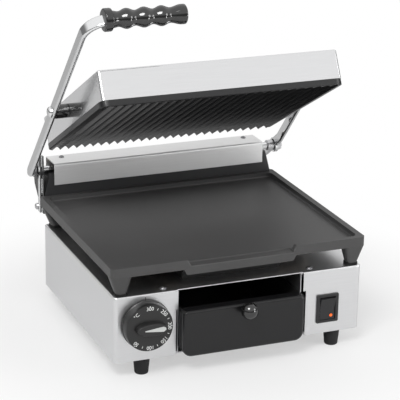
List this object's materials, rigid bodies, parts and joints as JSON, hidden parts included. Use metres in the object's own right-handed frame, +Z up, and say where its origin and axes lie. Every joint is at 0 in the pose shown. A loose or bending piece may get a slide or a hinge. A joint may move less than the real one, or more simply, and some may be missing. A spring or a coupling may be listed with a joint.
{
  "type": "contact grill",
  "caption": "Countertop contact grill with a hinged ribbed upper plate on lifting arms, a flat lower plate, a thermostat dial, a rocker switch and a drip drawer.",
  "frame": {"origin": "middle of the whole grill's bounding box, on the surface that the feet stand on", "axes": "+Z up, the front of the grill faces -Y, +X to the right seen from the front"},
  "size_m": [0.3146, 0.312, 0.3798],
  "materials": {
    "polished_steel": "mirror polished stainless sheet",
    "mill_steel": "plain rolled sheet",
    "rubber_foot": "matt moulded",
    "screw_steel": "turned and plated",
    "switch_black": "satin moulded",
    "thermostat_metal": "pressed",
    "copper_tube": "drawn copper",
    "ceramic_block": "unglazed",
    "gland_nylon": "moulded",
    "enamel_plate": "dark grey enamelled casting",
    "pad_black": "fibre pad",
    "element_steel": "heat tinted tube",
    "clamp_steel": "plain sheet",
    "housing_dark": "black heat-proof paint",
    "hinge_dark": "black enamelled casting",
    "bronze_bush": "sintered bronze",
    "chrome_arm": "polished chrome plate",
    "spring_steel": "oiled spring wire",
    "grip_black": "gloss phenolic moulding",
    "spacer_black": "moulded",
    "ribbed_iron": "near black enamelled casting",
    "insulation_mat": "ceramic fibre mat",
    "gland_metal": "plated",
    "drawer_black": "black satin powder coat",
    "tray_steel": "black coated sheet",
    "knob_black": "satin moulded phenolic",
    "pointer_grey": "light grey insert",
    "lamp_orange": "translucent lens"
  },
  "bodies": {
    "body": {"base_shell": "polished_steel", "base_rear_panel": "mill_steel", "base_bottom_plate": "mill_steel", "foot_front_left": "rubber_foot", "foot_front_right": "rubber_foot", "foot_rear_left": "rubber_foot", "foot_rear_right": "rubber_foot", "foot_screws": "screw_steel", "sheet_screws": "screw_steel", "drawer_runner_left": "mill_steel", "drawer_runner_right": "mill_steel", "thermostat_body": "thermostat_metal", "thermostat_capillary": "copper_tube", "rocker_housing": "switch_black", "terminal_block": "ceramic_block", "cord_gland": "gland_nylon", "lower_plate": "enamel_plate", "leg_pads": "pad_black", "leg_bolts": "screw_steel", "lower_element": "element_steel", "lower_element_clamps": "clamp_steel", "element_housing": "housing_dark", "hinge_block": "hinge_dark", "hinge_block_bolts": "screw_steel", "hinge_bush_left": "bronze_bush", "hinge_bush_right": "bronze_bush", "hinge_bracket": "chrome_arm", "bracket_screw": "screw_steel", "rear_cover": "polished_steel", "rear_cover_screws": "screw_steel", "lid_spring_left": "spring_steel", "lid_spring_right": "spring_steel"},
    "arms": {"lever_bar": "chrome_arm", "lever_grip": "grip_black", "right_arm": "chrome_arm", "hinge_shaft": "chrome_arm", "shaft_washers": "screw_steel", "arm_nuts": "screw_steel", "pivot_bolt_left": "chrome_arm", "pivot_bolt_right": "chrome_arm", "pivot_spacer_left": "spacer_black", "pivot_spacer_right": "spacer_black"},
    "lid": {"lid_cover": "polished_steel", "lid_plate": "ribbed_iron", "lid_element": "element_steel", "lid_element_clamps": "clamp_steel", "lid_insulation": "insulation_mat", "lid_bracket_left": "clamp_steel", "lid_bracket_right": "clamp_steel", "lid_screws": "screw_steel", "lid_cable_gland": "gland_metal"},
    "drawer": {"drawer_front": "drawer_black", "drip_tray": "tray_steel", "drawer_knob": "grip_black"},
    "dial": {"thermostat_knob": "knob_black", "knob_pointer": "pointer_grey", "thermostat_spindle": "thermostat_metal"},
    "rocker": {"rocker_button": "switch_black", "rocker_lens": "lamp_orange"}
  },
  "joints": [
    {"name": "arm_hinge", "type": "hinge", "parent": "body", "child": "arms", "pos_m": [-0.0007, 0.1274, 0.1503], "axis": [1, 0, 0], "range_deg": [0, 50.44], "deforming": ["lid_spring_left", "lid_spring_right"]},
    {"name": "lid_tilt", "type": "hinge", "parent": "arms", "child": "lid", "pos_m": [-0.0007, 0.04197, 0.24305], "axis": [1, 0, 0], "range_deg": [-21.54, 0]},
    {"name": "drawer_slide", "type": "slide", "parent": "body", "child": "drawer", "axis": [0, -1, 0], "range_m": [0, 0.15]},
    {"name": "dial_turn", "type": "hinge", "parent": "body", "child": "dial", "pos_m": [-0.1067, -0.123, 0.0595], "axis": [0, 1, 0], "range_deg": [-315, 0]},
    {"name": "rocker_tilt", "type": "hinge", "parent": "body", "child": "rocker", "pos_m": [0.1005, -0.12, 0.0472], "axis": [1, 0, 0], "range_deg": [-14, 0]}
  ],
  "couplings": [
    {"joint": "lid_tilt", "follows": "arm_hinge", "ratio": -0.42704}
  ]
}
